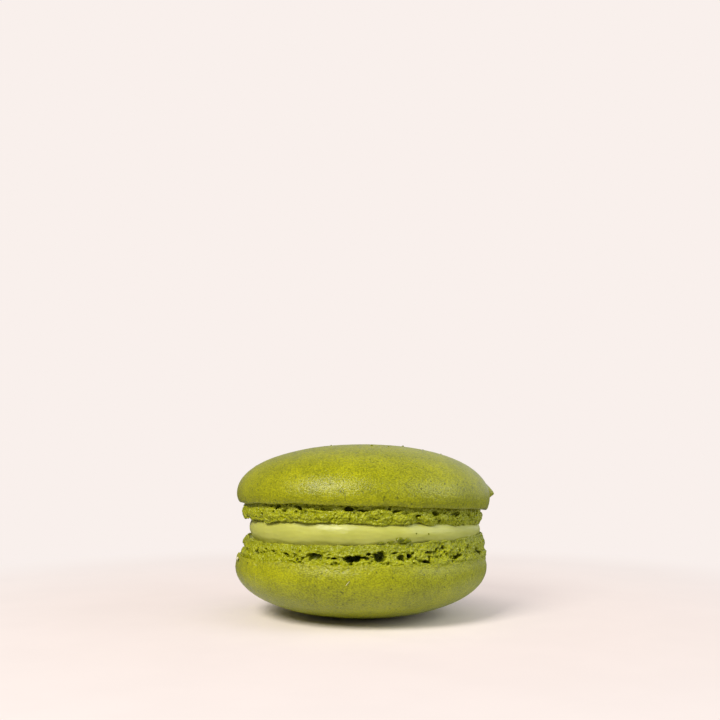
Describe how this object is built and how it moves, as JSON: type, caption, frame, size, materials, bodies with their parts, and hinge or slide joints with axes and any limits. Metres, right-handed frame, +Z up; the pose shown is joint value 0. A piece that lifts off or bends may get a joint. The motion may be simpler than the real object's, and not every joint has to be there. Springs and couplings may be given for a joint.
{
  "type": "macaron",
  "caption": "Round green tea macaron: smooth domed almond shells with ruffled, pitted feet, closed on a thick wedge of pale green cream.",
  "frame": {"origin": "bottom centre of the macaron, on the surface that it rests on", "axes": "+Z up through both shells, -Y towards the side seen from the front, +X to the right from there"},
  "size_m": [0.0462, 0.0455, 0.0305],
  "materials": {
    "baked_shell": "satin green tea crust with a fine leathery grain, over an open matt crumb",
    "cream": "smooth, softly shining pale green cream"
  },
  "bodies": {
    "root": {"lower_shell": "baked_shell", "filling": "cream", "upper_shell": "baked_shell"}
  },
  "joints": []
}
